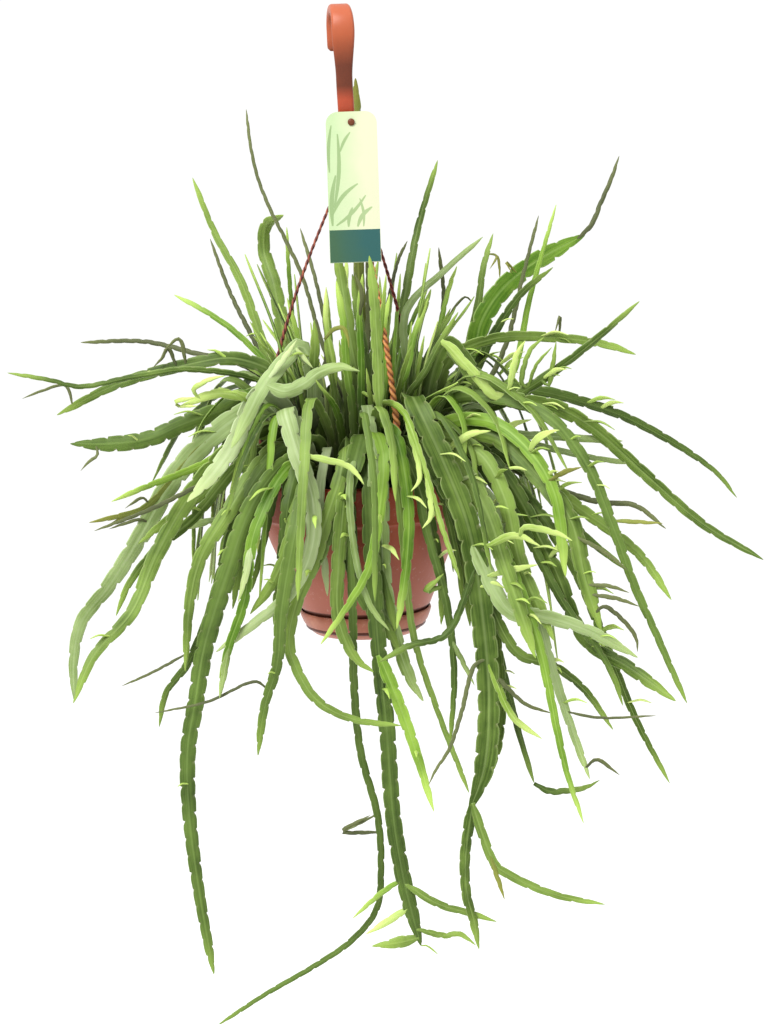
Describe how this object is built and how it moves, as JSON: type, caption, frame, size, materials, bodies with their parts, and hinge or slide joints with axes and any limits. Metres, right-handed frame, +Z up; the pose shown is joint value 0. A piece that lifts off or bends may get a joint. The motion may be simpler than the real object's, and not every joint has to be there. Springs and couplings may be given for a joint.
{
  "type": "potted lepismium bolivianum",
  "caption": "Trailing forest cactus with flat notched stems in a hanging plastic pot with clip-on saucer, strands, hook and plant label.",
  "frame": {"origin": "the hook's seat: the inner top of its crook, where the bar that it hangs on bears", "axes": "+Z up along the pot's axis, +X to the right and +Y away from the side that the label faces"},
  "size_m": [0.4989, 0.2882, 0.6828],
  "materials": {
    "pot_plastic": "satin moulded plastic, pinkish terracotta",
    "hook_plastic": "semi-gloss moulded plastic, terracotta orange",
    "strand_plastic": "twisted plastic cord, orange brown with dark marks",
    "label_card": "printed plastic card, pale yellow green with a dark teal band",
    "soil": "damp dark peat with bark crumbs",
    "stem": "waxy green plant skin, paler towards the young tips"
  },
  "bodies": {
    "root": {"pot": "pot_plastic", "saucer": "pot_plastic", "soil": "soil", "hook": "hook_plastic", "label": "label_card", "strand_left": "strand_plastic", "strand_front": "strand_plastic", "strand_back": "strand_plastic", "stems_right": "stem", "stems_right_back": "stem", "stems_back_right": "stem", "stems_back": "stem", "stems_back_left": "stem", "stems_left_back": "stem", "stems_left": "stem", "stems_left_front": "stem", "stems_front_left": "stem", "stems_front": "stem", "stems_front_right": "stem", "stems_right_front": "stem"}
  },
  "joints": []
}
